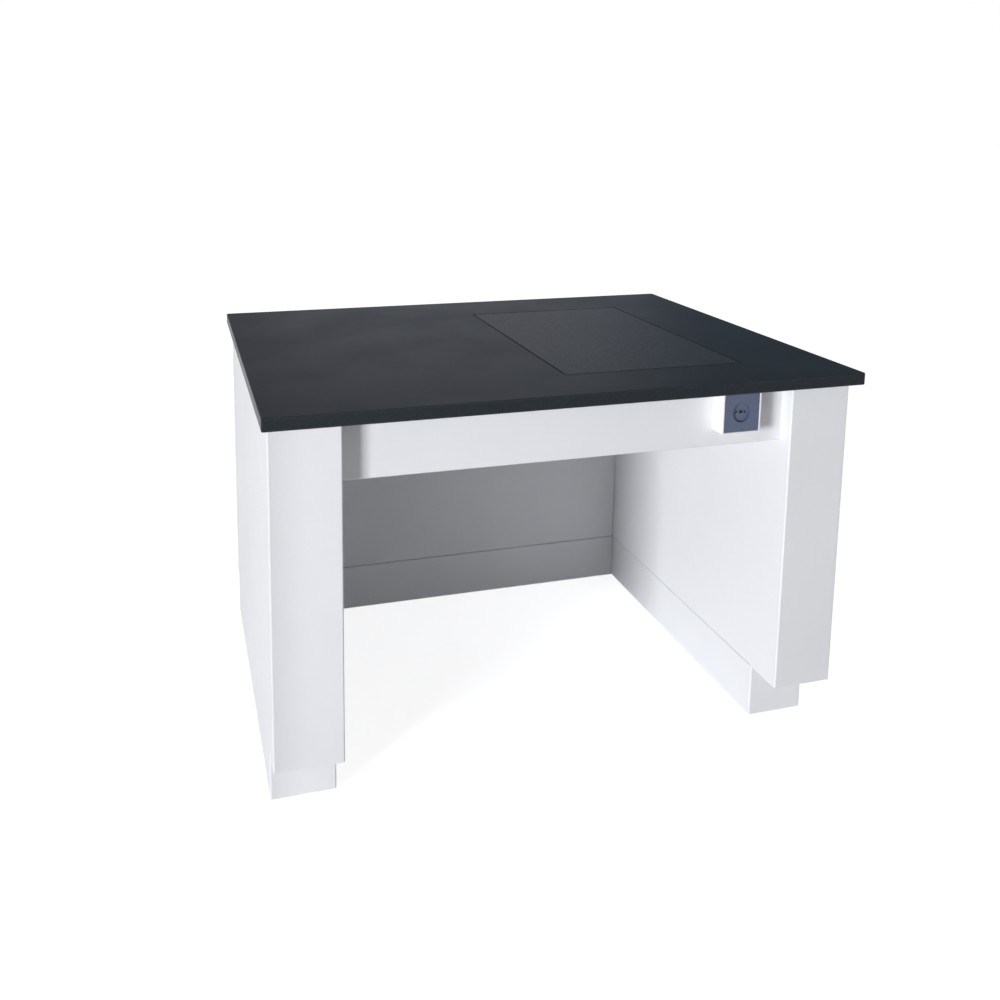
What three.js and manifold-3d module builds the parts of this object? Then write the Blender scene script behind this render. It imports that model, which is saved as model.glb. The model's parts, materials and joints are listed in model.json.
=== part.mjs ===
// Weighing balance table: a worktop on two sheet-metal pedestals, with a stone slab for the balance
// floating on rubber isolators in a cut-out of the worktop.
// Millimetres, +Z up, front towards -Y, origin on the floor under the middle of the worktop.

import * as THREE from 'three';
import { mergeVertices } from 'three/addons/utils/BufferGeometryUtils.js';
import Module from 'manifold-3d';

const wasm = await Module();
wasm.setup();

// Overall size
const tableWidth = 1200;
const tableDepth = 900;
const tableHeight = 800;

// Worktop
const worktopThickness = 25;
const worktopCornerRadius = 4;
const worktopArris = 1.5;

// Balance stone and the joint around it
const stoneWidth = 390;
const stoneDepth = 600;
const stoneThickness = 50;
const stoneJoint = 2.5;
const stoneArris = 1;
const stoneCornerRadius = 2;
const stoneSideGap = 56;

// Pedestals, under the worktop
const pedestalWidth = 132;
const sideOverhang = 12;
const frontOverhang = 32;
const backOverhang = 15;
const sheet = 1.5;
const foldRadius = 3;
const rearReturn = 18;
const coverThickness = 1.5;
const coverMargin = 2;
const topPlateThickness = 3;
const basePlateThickness = 2;
const seamRecess = 6;

// Plinths, under the pedestals
const plinthHeight = 119;
const plinthSetback = 88;
const plinthInset = 2;
const plinthFlange = 15;
const floorGap = 3;

// Levelling feet
const footInset = 60;
const footPadRadius = 25;
const footPadHeight = 8;
const footConeHeight = 5;
const footCollarFlats = 22;
const footCollarHeight = 9;
const studRadius = 6;
const studTop = 72;
const studPoint = 2;
const footBracketPlate = 3;
const footBracketWidth = 56;
const footBracketFlange = 25;
const footNutFlats = 19;
const footNutHeight = 10;

// Apron and back panel, between the pedestals
const apronSetback = 34;
const apronHeight = 124;
const apronFlange = 16;
const apronLip = 8;
const apronBracketLeg = 30;
const apronBracketDepth = 13;
const apronBracketHeight = 70;
const apronBracketPlate = 2;
const backPanelRecess = 80;
const backPanelFold = 20;

// Frame that carries the stone
const isolatorRadius = 25;
const isolatorHeight = 20;
const isolatorWaist = 3;
const isolatorInset = 60;
const bearerWidth = 50;
const bearerHeight = 30;
const railWidth = 40;
const railHeight = 40;
const tubeWall = 2;
const tubeCornerRadius = 4;
const railGap = 3;
const seatPlate = 4;
const plateBend = 1.5;
const seatLeg = 50;
const seatRise = 58;

// Socket outlet on the apron
const socketSize = 86;
const socketDepth = 38;
const socketWall = 4.5;
const socketCornerRadius = 4;
const socketTopGap = 3;
const socketFromPedestal = 73;
const socketPlateThickness = 4;
const socketPlateRecess = 1;
const socketWellRadius = 20;
const socketWellDepth = 5;
const socketWellWall = 2.5;
const socketPinRadius = 2.6;
const socketPinSpacing = 19;
const socketInsertWidth = 46;
const socketInsertHeight = 30;
const socketInsertDepth = 11;
const contactRadius = 4.2;
const contactLength = 9;
const contactEnd = 2;
const socketScrewHeadRadius = 3.6;
const socketScrewHead = 2;
const socketScrewRadius = 1.5;
const socketScrewLength = 9;

// Grommet in the apron, behind the socket box
const grommetBore = 6;
const grommetNeck = 10;
const grommetFlange = 14;
const grommetLip = 1.5;

// Worktop screws
const screwInset = 90;
const screwRadius = 2.5;
const screwBite = 16;
const screwHeadRadius = 5;
const screwHead = 4;

// Fits and roundness
const fit = 0.3;
const boltSlack = 1;
const arcSteps = 4;
const roundSides = 32;

// Places worked out from the sizes
const front = -tableDepth / 2;
const back = tableDepth / 2;
const underside = tableHeight - worktopThickness;
const pedestalX = tableWidth / 2 - sideOverhang - pedestalWidth / 2;
const kneeHalf = pedestalX - pedestalWidth / 2;
const pedestalFront = front + frontOverhang;
const pedestalBack = back - backOverhang;
const shellBack = pedestalBack - coverThickness;
const shellBottom = plinthHeight + basePlateThickness;
const plinthFront = pedestalFront + plinthSetback;
const plinthHalf = pedestalWidth / 2 - plinthInset;
const apronFront = pedestalFront + apronSetback;
const apronBottom = underside - apronHeight;
const panelFront = pedestalBack - backPanelRecess;
const stoneX = kneeHalf - stoneSideGap - stoneWidth / 2;
const stoneY = (apronFront + panelFront) / 2;
const stoneBottom = tableHeight - stoneThickness;
const bearerTop = stoneBottom - isolatorHeight;
const railTop = bearerTop - bearerHeight;
const railBottom = railTop - railHeight;
const frontRailY = apronFront + apronFlange + railGap + railWidth / 2;
const rearRailY = panelFront - railGap - railWidth / 2;
const isolatorX = stoneWidth / 2 - isolatorInset;
const isolatorY = stoneDepth / 2 - isolatorInset;
const bracketBottom = footPadHeight + footConeHeight + footCollarHeight + fit;
const bracketTop = bracketBottom + footBracketPlate;
const socketX = kneeHalf - socketFromPedestal - socketSize / 2;
const socketZ = underside - socketTopGap - socketSize / 2;
const socketFront = apronFront - socketDepth;
const wellFloor = socketFront + socketPlateRecess + socketWellDepth;
const insertFront = wellFloor + socketWellWall;

// Finishes
const blackBoard = { color: 0x2b3033, roughness: 0.55, metalness: 0 };
const blackStone = { color: 0x34383c, roughness: 0.35, metalness: 0 };
const whitePaint = { color: 0xe4e7ea, roughness: 0.45, metalness: 0 };
const zincSteel = { color: 0xb4b8ba, roughness: 0.4, metalness: 1 };
const blackRubber = { color: 0x1c1c1d, roughness: 0.9, metalness: 0 };
const whitePlastic = { color: 0xf1f2f2, roughness: 0.4, metalness: 0 };
const blackSteel = { color: 0x28292b, roughness: 0.5, metalness: 0 };
const bluePlastic = { color: 0x59637b, roughness: 0.45, metalness: 0 };
const brass = { color: 0xb08d4c, roughness: 0.35, metalness: 1 };

// A closed mesh as a solid for joining and cutting
function toSolid(geometry) {
  const bare = geometry.clone();
  bare.deleteAttribute('normal');
  bare.deleteAttribute('uv');
  const merged = mergeVertices(bare, 1e-4);
  const mesh = new wasm.Mesh({
    numProp: 3,
    vertProperties: new Float32Array(merged.attributes.position.array),
    triVerts: new Uint32Array(merged.index.array),
  });
  return new wasm.Manifold(mesh);
}

function toGeometry(solid) {
  const mesh = solid.getMesh();
  const geometry = new THREE.BufferGeometry();
  geometry.setAttribute('position', new THREE.BufferAttribute(mesh.vertProperties, 3));
  geometry.setIndex(new THREE.BufferAttribute(mesh.triVerts, 1));
  geometry.computeVertexNormals();
  return geometry;
}

function cut(body, ...tools) {
  return toGeometry(tools.reduce((rest, tool) => rest.subtract(toSolid(tool)), toSolid(body)));
}

function join(body, ...others) {
  return toGeometry(others.reduce((sum, other) => sum.add(toSolid(other)), toSolid(body)));
}

// Outline whose corners [x, y, radius] are rounded by arcs of that radius
function roundedOutline(corners) {
  const points = [];
  corners.forEach(([x, y, radius], i) => {
    const corner = new THREE.Vector2(x, y);
    const [before, after] = [corners.at(i - 1), corners[(i + 1) % corners.length]];
    const toBefore = new THREE.Vector2(before[0], before[1]).sub(corner).normalize();
    const toAfter = new THREE.Vector2(after[0], after[1]).sub(corner).normalize();
    const bend = Math.acos(THREE.MathUtils.clamp(toBefore.dot(toAfter), -1, 1)) / 2;
    if (radius <= 0) {
      points.push(corner);
      return;
    }
    const inward = toBefore.clone().add(toAfter).normalize();
    const middle = inward.multiplyScalar(radius / Math.sin(bend)).add(corner);
    const run = radius / Math.tan(bend);
    const start = toBefore.multiplyScalar(run).add(corner).sub(middle);
    const end = toAfter.multiplyScalar(run).add(corner).sub(middle);
    const sweep = Math.atan2(start.cross(end), start.dot(end));
    for (let step = 0; step <= arcSteps; step += 1) {
      const spoke = start.clone().rotateAround(new THREE.Vector2(), (sweep * step) / arcSteps);
      points.push(spoke.add(middle));
    }
  });
  return points;
}

function roundedRectangle(width, height, radius) {
  const [x, y] = [width / 2, height / 2];
  return roundedOutline([[-x, -y, radius], [x, -y, radius], [x, y, radius], [-x, y, radius]]);
}

// Section of a folded sheet. The path is the line of one face, the thickness lies to its left,
// and each bend has the fold radius on its outer side.
function foldedSection(path, thickness, radius = foldRadius) {
  const points = path.map(([x, y]) => new THREE.Vector2(x, y));
  const last = points.length - 1;
  const heading = (i) => points[i + 1].clone().sub(points[i]).normalize();
  const leftOf = (v) => new THREE.Vector2(-v.y, v.x);
  const innerRadius = radius - thickness;
  const [near, far] = [[], []];
  points.forEach((point, i) => {
    const ahead = heading(Math.min(i, last - 1));
    const behind = heading(Math.max(i - 1, 0));
    const turn = behind.cross(ahead);
    const offset = i === 0 || i === last ? leftOf(ahead) : leftOf(ahead).add(leftOf(behind));
    const inside = offset.multiplyScalar(thickness).add(point);
    const ends = i === 0 || i === last;
    const [nearRadius, farRadius] = turn > 0 ? [radius, innerRadius] : [innerRadius, radius];
    near.push([point.x, point.y, ends ? 0 : nearRadius]);
    far.unshift([inside.x, inside.y, ends ? 0 : farRadius]);
  });
  return roundedOutline([...near, ...far]);
}

// Straight bars of a section: (x, y) along Z, (y, z) along X and (x, z) along Y
function extrude(shape, z0, z1) {
  return new THREE.ExtrudeGeometry(shape, { depth: z1 - z0, bevelEnabled: false }).translate(0, 0, z0);
}

function barZ(section, z0, z1) {
  return extrude(new THREE.Shape(section), z0, z1);
}

function layAlongX(geometry) {
  const [x, y, z] = [0, 1, 2].map((i) => new THREE.Vector3().setComponent(i, 1));
  return geometry.applyMatrix4(new THREE.Matrix4().makeBasis(y, z, x));
}

function barX(section, x0, x1) {
  return layAlongX(barZ(section, x0, x1));
}

function barY(section, y0, y1) {
  return barZ(section, -y1, -y0).rotateX(Math.PI / 2);
}

// A slab with all its long edges broken by a small arris
function arrisSlab(outline, z0, z1, arris) {
  const shape = new THREE.Shape(outline);
  const slab = new THREE.ExtrudeGeometry(shape, {
    depth: z1 - z0 - 2 * arris,
    bevelThickness: arris,
    bevelSize: arris,
    bevelOffset: -arris,
    bevelSegments: 1,
  });
  return slab.translate(0, 0, z0 + arris);
}

function block([x0, x1], [y0, y1], [z0, z1]) {
  const box = new THREE.BoxGeometry(x1 - x0, y1 - y0, z1 - z0);
  return box.translate((x0 + x1) / 2, (y0 + y1) / 2, (z0 + z1) / 2);
}

function rodZ(radius, z0, z1, x = 0, y = 0) {
  const rod = new THREE.CylinderGeometry(radius, radius, z1 - z0, roundSides);
  return rod.rotateX(Math.PI / 2).translate(x, y, (z0 + z1) / 2);
}

function rodY(radius, y0, y1, x = 0, z = 0) {
  const rod = new THREE.CylinderGeometry(radius, radius, y1 - y0, roundSides);
  return rod.translate(x, (y0 + y1) / 2, z);
}

// A round piece about Z, from its profile of [radius, z] read from the bottom up
function turned(profile) {
  const points = profile.map(([radius, z]) => new THREE.Vector2(radius, z));
  return new THREE.LatheGeometry(points, roundSides).rotateX(Math.PI / 2);
}

function hexagon(acrossFlats) {
  const radius = acrossFlats / Math.sqrt(3);
  const angles = [0, 1, 2, 3, 4, 5].map((i) => (i * Math.PI) / 3);
  return angles.map((a) => new THREE.Vector2(radius * Math.cos(a), radius * Math.sin(a)));
}

const table = new THREE.Group();

function add(name, geometry, finish, parent = table) {
  const mesh = new THREE.Mesh(geometry, new THREE.MeshStandardMaterial(finish));
  mesh.name = name;
  parent.add(mesh);
  return mesh;
}

// Worktop: one board with the stone's cut-out, and blind holes for its screws from below
const screwY = [pedestalFront + screwInset, shellBack - screwInset];

function worktopBoard() {
  const outline = roundedRectangle(tableWidth, tableDepth, worktopCornerRadius);
  const board = arrisSlab(outline, underside, tableHeight, worktopArris);
  const opening = roundedRectangle(
    stoneWidth + 2 * stoneJoint,
    stoneDepth + 2 * stoneJoint,
    stoneCornerRadius + stoneJoint,
  );
  const cutOut = barZ(opening, underside - boltSlack, tableHeight + boltSlack).translate(stoneX, stoneY, 0);
  const holes = [-pedestalX, pedestalX].flatMap((x) =>
    screwY.map((y) => rodZ(screwRadius + fit, underside - boltSlack, underside + screwBite + fit, x, y)),
  );
  return cut(board, cutOut, ...holes);
}

add('worktop', worktopBoard(), blackBoard);

const stoneOutline = roundedRectangle(stoneWidth, stoneDepth, stoneCornerRadius);
const stone = add('balance_stone', arrisSlab(stoneOutline, stoneBottom, tableHeight, stoneArris), blackStone);
stone.position.set(stoneX, stoneY, 0);

// Pedestals and plinths are alike on both sides, so each is made about its own middle plane
function wrapSection(half, y0, y1) {
  const path = [
    [-half + rearReturn, y1],
    [-half, y1],
    [-half, y0],
    [half, y0],
    [half, y1],
    [half - rearReturn, y1],
  ];
  return foldedSection(path, sheet);
}

// The shell stands on the front and the rear of this plate. Above the plinth the plate is narrower,
// which leaves a shadow gap between shell and plinth.
function basePlate() {
  const wide = pedestalWidth / 2 - fit;
  const narrow = plinthHalf - seamRecess;
  const [y0, y1] = [pedestalFront + fit, shellBack - fit];
  const corners = [
    [wide, y0],
    [wide, plinthFront],
    [narrow, plinthFront],
    [narrow, y1],
  ];
  const mirrored = corners.map(([x, y]) => [-x, y]).reverse();
  const outline = [...corners, ...mirrored].map(([x, y]) => new THREE.Vector2(x, y));
  return barZ(outline, plinthHeight, shellBottom);
}

function topPlate() {
  const half = pedestalWidth / 2 - sheet - fit;
  const ends = [pedestalFront + foldRadius + fit, shellBack - foldRadius - fit];
  const plate = block([-half, half], ends, [underside - topPlateThickness, underside]);
  const holes = screwY.map((y) =>
    rodZ(screwRadius + boltSlack, underside - topPlateThickness - boltSlack, underside + boltSlack, 0, y),
  );
  return cut(plate, ...holes);
}

function backCover() {
  const height = underside - shellBottom - 2 * coverMargin;
  const outline = roundedRectangle(pedestalWidth - 2 * coverMargin, height, foldRadius);
  return barY(outline, shellBack, pedestalBack).translate(0, 0, (underside + shellBottom) / 2);
}

function plinthWrap() {
  const depth = shellBack - plinthFront;
  const ring = new THREE.Shape(roundedRectangle(2 * plinthHalf, depth, foldRadius));
  const inner = roundedRectangle(2 * (plinthHalf - sheet), depth - 2 * sheet, foldRadius - sheet);
  ring.holes.push(new THREE.Path(inner));
  const walls = extrude(ring, floorGap, plinthHeight).translate(0, plinthFront + depth / 2, 0);
  const lips = [-1, 1].map((side) => {
    const wall = side * (plinthHalf - sheet / 2);
    const edge = side * (plinthHalf - plinthFlange);
    const reach = [Math.min(wall, edge), Math.max(wall, edge)];
    const run = [plinthFront + foldRadius, shellBack - foldRadius];
    return block(reach, run, [plinthHeight - sheet, plinthHeight]);
  });
  return join(walls, ...lips);
}

function footBracket() {
  const half = plinthHalf - sheet - fit;
  const path = [
    [-half, bracketBottom + footBracketFlange],
    [-half, bracketBottom],
    [half, bracketBottom],
    [half, bracketBottom + footBracketFlange],
  ];
  const section = foldedSection(path, footBracketPlate, footBracketPlate + plateBend);
  const channel = barY(section, -footBracketWidth / 2, footBracketWidth / 2);
  return cut(channel, rodZ(studRadius + boltSlack, bracketBottom - boltSlack, bracketTop + boltSlack));
}

function footNut() {
  const nut = barZ(hexagon(footNutFlats), bracketTop, bracketTop + footNutHeight);
  return cut(nut, rodZ(studRadius + fit, bracketTop - boltSlack, bracketTop + footNutHeight + boltSlack));
}

function levellingFoot() {
  const coneTop = footPadHeight + footConeHeight;
  const collarTop = coneTop + footCollarHeight;
  const foot = turned([
    [0, 0],
    [footPadRadius, 0],
    [footPadRadius, footPadHeight],
    [footCollarFlats / 2, coneTop],
    [studRadius, coneTop],
    [studRadius, studTop - studPoint],
    [studRadius - studPoint, studTop],
    [0, studTop],
  ]);
  return join(foot, barZ(hexagon(footCollarFlats), coneTop - fit, collarTop));
}

function worktopScrew() {
  const headTop = underside - topPlateThickness;
  return turned([
    [0, headTop - screwHead],
    [screwHeadRadius - screwHead / 3, headTop - screwHead],
    [screwHeadRadius, headTop - screwHead / 2],
    [screwHeadRadius, headTop],
    [screwRadius, headTop],
    [screwRadius, underside + screwBite - screwRadius],
    [0, underside + screwBite],
  ]);
}

for (const [side, sign] of [['left', -1], ['right', 1]]) {
  const pedestal = new THREE.Group();
  pedestal.position.x = sign * pedestalX;
  table.add(pedestal);
  const shell = wrapSection(pedestalWidth / 2, pedestalFront, shellBack);
  add(`${side}_pedestal_shell`, barZ(shell, shellBottom, underside), whitePaint, pedestal);
  add(`${side}_pedestal_back_cover`, backCover(), whitePaint, pedestal);
  add(`${side}_pedestal_top_plate`, topPlate(), whitePaint, pedestal);
  add(`${side}_pedestal_base_plate`, basePlate(), whitePaint, pedestal);
  add(`${side}_plinth`, plinthWrap(), whitePaint, pedestal);
  const footY = [plinthFront + footInset, shellBack - footInset];
  ['front', 'rear'].forEach((end, i) => {
    const corner = new THREE.Group();
    corner.position.y = footY[i];
    pedestal.add(corner);
    add(`${side}_${end}_foot_bracket`, footBracket(), zincSteel, corner);
    add(`${side}_${end}_foot_nut`, footNut(), zincSteel, corner);
    add(`${side}_${end}_levelling_foot`, levellingFoot(), zincSteel, corner);
    add(`${side}_${end}_worktop_screw`, worktopScrew(), zincSteel, pedestal).position.y = screwY[i];
  });
}

// Apron: a folded channel between the pedestals, with a hole behind the socket box
function apronChannel() {
  const [y0, y1] = [apronFront, apronFront + apronFlange];
  const path = [
    [y1, underside],
    [y0, underside],
    [y0, apronBottom],
    [y1, apronBottom],
    [y1, apronBottom + apronLip],
  ];
  const channel = barX(foldedSection(path, sheet), -kneeHalf + fit, kneeHalf - fit);
  return cut(channel, rodY(grommetNeck + fit, y0 - boltSlack, y0 + sheet + boltSlack, socketX, socketZ));
}

// Angle that holds one end of the apron to the pedestal beside it
function apronBracket(sign) {
  const face = apronFront + sheet + fit;
  const wall = sign * (kneeHalf - fit);
  const legs = [[wall, face + apronBracketDepth], [wall, face], [wall - sign * apronBracketLeg, face]];
  const section = foldedSection(sign > 0 ? legs.reverse() : legs, apronBracketPlate);
  const middle = (underside + apronBottom) / 2;
  return barZ(section, middle - apronBracketHeight / 2, middle + apronBracketHeight / 2);
}

add('front_apron', apronChannel(), whitePaint);
add('apron_bracket_left', apronBracket(-1), zincSteel);
add('apron_bracket_right', apronBracket(1), zincSteel);

// A tray of sheet that is open to the back, with its face towards the front
function backTray(half, y0, z0, z1) {
  const outer = block([-half, half], [y0, y0 + backPanelFold], [z0, z1]);
  const hollow = block(
    [-half + sheet, half - sheet],
    [y0 + sheet, y0 + backPanelFold + boltSlack],
    [z0 + sheet, z1 - sheet],
  );
  return cut(outer, hollow);
}

add('back_panel', backTray(kneeHalf - fit, panelFront, shellBottom, underside), whitePaint);
const skirtHalf = kneeHalf + plinthInset - fit;
add('back_plinth', backTray(skirtHalf, panelFront + plinthInset, floorGap, plinthHeight), whitePaint);

// Rails from pedestal to pedestal on angle seats, bearers across them, and isolators under the stone
function tube(width, height) {
  const shape = new THREE.Shape(roundedRectangle(width, height, tubeCornerRadius));
  const [innerWidth, innerHeight] = [width - 2 * tubeWall, height - 2 * tubeWall];
  shape.holes.push(new THREE.Path(roundedRectangle(innerWidth, innerHeight, tubeCornerRadius - tubeWall)));
  return shape;
}

function crossRail() {
  const half = kneeHalf - seatPlate - plateBend - 2 * fit;
  return layAlongX(extrude(tube(railWidth, railHeight), -half, half));
}

function stoneBearer() {
  const half = (rearRailY - frontRailY + railWidth) / 2;
  return extrude(tube(bearerWidth, bearerHeight), -half, half).rotateX(Math.PI / 2);
}

function railSeat(sign) {
  const wall = sign * (kneeHalf - fit);
  const floor = railBottom - seatPlate;
  const legs = [[wall, floor + seatRise], [wall, floor], [wall - sign * seatLeg, floor]];
  const section = foldedSection(sign > 0 ? legs.reverse() : legs, seatPlate, seatPlate + plateBend);
  return barY(section, -railWidth / 2, railWidth / 2);
}

function isolator() {
  const rim = isolatorHeight / 4;
  return turned([
    [0, 0],
    [isolatorRadius, 0],
    [isolatorRadius, rim],
    [isolatorRadius - isolatorWaist, isolatorHeight / 2],
    [isolatorRadius, isolatorHeight - rim],
    [isolatorRadius, isolatorHeight],
    [0, isolatorHeight],
  ]);
}

for (const [end, y, sign] of [['front', frontRailY, -1], ['rear', rearRailY, 1]]) {
  const rail = add(`${end}_cross_rail`, crossRail(), whitePaint);
  rail.position.set(0, y, (railTop + railBottom) / 2);
  for (const [side, towards] of [['left', -1], ['right', 1]]) {
    add(`${end}_${side}_rail_seat`, railSeat(towards), zincSteel).position.y = y;
    const pad = add(`${end}_${side}_isolator`, isolator(), blackRubber);
    pad.position.set(stoneX + towards * isolatorX, stoneY + sign * isolatorY, bearerTop);
  }
}

for (const [side, sign] of [['left', -1], ['right', 1]]) {
  const bearer = add(`${side}_stone_bearer`, stoneBearer(), whitePaint);
  bearer.position.set(stoneX + sign * isolatorX, (frontRailY + rearRailY) / 2, bearerTop - bearerHeight / 2);
}

// Socket outlet, made about the middle of its box and placed on the apron
function socketBox() {
  const outline = roundedRectangle(socketSize, socketSize, socketCornerRadius);
  const inner = socketSize - 2 * socketWall;
  const mouth = roundedRectangle(inner, inner, socketCornerRadius / 2);
  const box = barY(outline, socketFront, apronFront);
  const hollow = barY(mouth, socketFront - boltSlack, apronFront - socketWall);
  const cableHole = rodY(grommetFlange + fit, apronFront - socketWall - boltSlack, apronFront + boltSlack);
  return cut(box, hollow, cableHole);
}

function pins(radius, y0, y1) {
  return [-1, 1].map((sign) => rodY(radius, y0, y1, (sign * socketPinSpacing) / 2));
}

function socketPlate() {
  const size = socketSize - 2 * socketWall - 2 * fit;
  const face = socketFront + socketPlateRecess;
  const outline = roundedRectangle(size, size, socketCornerRadius / 2 - fit);
  const plate = barY(outline, face, face + socketPlateThickness);
  const cup = rodY(socketWellRadius + socketWellWall, face + socketPlateThickness / 2, insertFront);
  const well = rodY(socketWellRadius, face - boltSlack, wellFloor);
  const holes = pins(socketPinRadius, wellFloor - boltSlack, insertFront + boltSlack);
  const screwHole = rodY(socketScrewRadius + fit, wellFloor - boltSlack, insertFront + boltSlack);
  return cut(join(plate, cup), well, ...holes, screwHole);
}

function socketInsert() {
  const outline = roundedRectangle(socketInsertWidth, socketInsertHeight, socketCornerRadius);
  const base = barY(outline, insertFront, insertFront + socketInsertDepth);
  const seats = pins(contactRadius + fit, insertFront - boltSlack, insertFront + contactLength + fit);
  const screwEnd = wellFloor + socketScrewLength + fit;
  return cut(base, ...seats, rodY(socketScrewRadius + fit, insertFront - boltSlack, screwEnd));
}

// A brass sleeve that grips one plug pin, closed at its back end
function contact() {
  const end = insertFront + contactLength;
  const sleeve = rodY(contactRadius, insertFront + fit, end);
  return cut(sleeve, rodY(socketPinRadius, insertFront - boltSlack, end - contactEnd));
}

function socketScrew() {
  const profile = turned([
    [0, -socketScrewHead],
    [socketScrewHeadRadius - socketScrewHead / 3, -socketScrewHead],
    [socketScrewHeadRadius, -socketScrewHead / 2],
    [socketScrewHeadRadius, 0],
    [socketScrewRadius, 0],
    [socketScrewRadius, socketScrewLength],
    [0, socketScrewLength],
  ]);
  return profile.rotateX(-Math.PI / 2).translate(0, wellFloor, 0);
}

// A rubber ring whose groove holds the sheet of the apron
function grommet() {
  const half = sheet / 2 + fit;
  const ring = turned([
    [grommetBore, -half - grommetLip],
    [grommetFlange, -half - grommetLip],
    [grommetFlange, -half],
    [grommetNeck, -half],
    [grommetNeck, half],
    [grommetFlange, half],
    [grommetFlange, half + grommetLip],
    [grommetBore, half + grommetLip],
    [grommetBore, -half - grommetLip],
  ]);
  return ring.rotateX(Math.PI / 2).translate(0, apronFront + sheet / 2, 0);
}

const socket = new THREE.Group();
socket.position.set(socketX, 0, socketZ);
table.add(socket);
add('socket_box', socketBox(), whitePlastic, socket);
add('socket_plate', socketPlate(), bluePlastic, socket);
add('socket_insert', socketInsert(), whitePlastic, socket);
add('socket_screw', socketScrew(), blackSteel, socket);
add('cable_grommet', grommet(), blackRubber, socket);
[['left', -1], ['right', 1]].forEach(([side, sign]) => {
  add(`socket_contact_${side}`, contact(), brass, socket).position.x = (sign * socketPinSpacing) / 2;
});

export default table;
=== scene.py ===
"""Weighing balance table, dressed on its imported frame.

Most pieces are finer surfaces of the frame's own nodes: boards with rounded arrises, folded sheet with its
bend radius, turned feet with their thread. Fittings that the frame leaves out, such as cover screws and end
plugs, are added. The other nodes keep their solids and get a finish. Metres, +Z up, front towards -Y.
"""

import json
import math
from collections import namedtuple

import bpy
import numpy as np
from bpy.props import FloatProperty, FloatVectorProperty, PointerProperty
from mathutils import Matrix, Vector


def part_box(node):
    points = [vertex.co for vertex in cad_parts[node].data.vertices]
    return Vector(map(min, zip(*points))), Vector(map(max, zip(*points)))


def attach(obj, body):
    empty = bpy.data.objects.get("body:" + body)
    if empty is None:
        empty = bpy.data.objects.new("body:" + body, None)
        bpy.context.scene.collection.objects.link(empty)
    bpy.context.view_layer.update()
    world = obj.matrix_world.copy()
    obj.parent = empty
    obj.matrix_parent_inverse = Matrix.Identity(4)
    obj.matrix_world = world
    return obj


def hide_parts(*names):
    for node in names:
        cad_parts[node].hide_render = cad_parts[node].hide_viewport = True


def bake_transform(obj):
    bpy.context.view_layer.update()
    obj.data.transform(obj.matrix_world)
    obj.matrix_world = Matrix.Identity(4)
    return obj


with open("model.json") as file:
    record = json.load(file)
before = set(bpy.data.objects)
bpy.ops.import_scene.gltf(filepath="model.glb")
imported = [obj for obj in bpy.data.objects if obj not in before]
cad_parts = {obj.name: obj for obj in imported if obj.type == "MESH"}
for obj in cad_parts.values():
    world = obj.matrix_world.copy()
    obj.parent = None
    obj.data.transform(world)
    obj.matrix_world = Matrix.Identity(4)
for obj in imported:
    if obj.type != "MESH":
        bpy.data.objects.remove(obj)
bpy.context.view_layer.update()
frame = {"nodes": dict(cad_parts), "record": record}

bl_info = {
    "name": "Balance table",
    "version": (1, 0, 0),
    "blender": (4, 5, 0),
    "location": "3D View > Sidebar > Balance table",
    "description": "Dresses the packed balance table and sets up its studio",
    "category": "Object",
}

MM = 0.001
HOLD = 0.6 * MM  # a line of points this far from a bend keeps the flat beside it flat
TINY = 0.02 * MM  # least radius of a corner
CRISP = math.radians(38)  # steeper angles between faces stay sharp
SIDES = ("left", "right")
ENDS = ("front", "rear")
FACING_X = (2, 0, 1)  # order of the axes for what is made about Z and then laid along X
FACING_Y = (0, 2, 1)
WHITE = (1.0, 1.0, 1.0, 1.0)

SCREW_RISE = 0.45  # height of a cover screw's head over its radius
RECESS_HALF = 0.17  # half width of a screw's cross recess over the head's radius, and the slope at its side
RECESS_SLOPE = 0.05
RECESS_REACH = 0.62  # length of an arm of the recess over the head's radius, and the slope at its end
RECESS_RUNOUT = 0.08
RECESS_DEPTH = 0.6  # depth of the recess over the height of the head
CORNER_CIRCLE = 0.95  # circle past which a hexagon's corners are turned off, over its flats
CORNER_SLOPE = math.tan(math.radians(30))
ISOLATOR_RIM = 0.15  # share of an isolator's height above and below its waist
ISOLATOR_DIP = 0.12  # depth of the waist over the radius
SHANK_RADII = np.array([1.4, 1.5, 1.5, 1.1]) * MM  # of the plate's screw, from its end up into its head
SHANK_HEIGHTS = np.array([-8.0, 0.2, 0.4]) * MM  # of all but the end, from the underside of the head
DISH_RADII = np.array([12.0, 10.5]) * MM  # of a foot's pad, where it rises inside its rim
DISH_HEIGHTS = np.array([4.0, 5.0]) * MM  # above the rim, as the next three are
COLLAR_BOTTOM = 4.7 * MM
COLLAR_TOP = 14.0 * MM
STUD_BOTTOM = 13.8 * MM
SOLE_INSETS = np.array([3.0, 0.6, 0.2, 0.2, 1.2]) * MM  # from the pad's edge
SOLE_HEIGHTS = np.array([0.0, 0.0, 0.6, -0.1, 0.6]) * MM  # three above the ground, two above the sole's top

FINISH_OF_SLOT = {
    "white_paint": "powder_coat",
    "worktop_board": "resin_board",
    "balance_stone": "honed_stone",
    "zinc_steel": "zinc_plate",
    "black_steel": "blackened_steel",
    "rubber": "black_rubber",
    "white_plastic": "outlet_white",
    "dark_plastic": "outlet_blue",
    "brass": "turned_brass",
}

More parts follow.
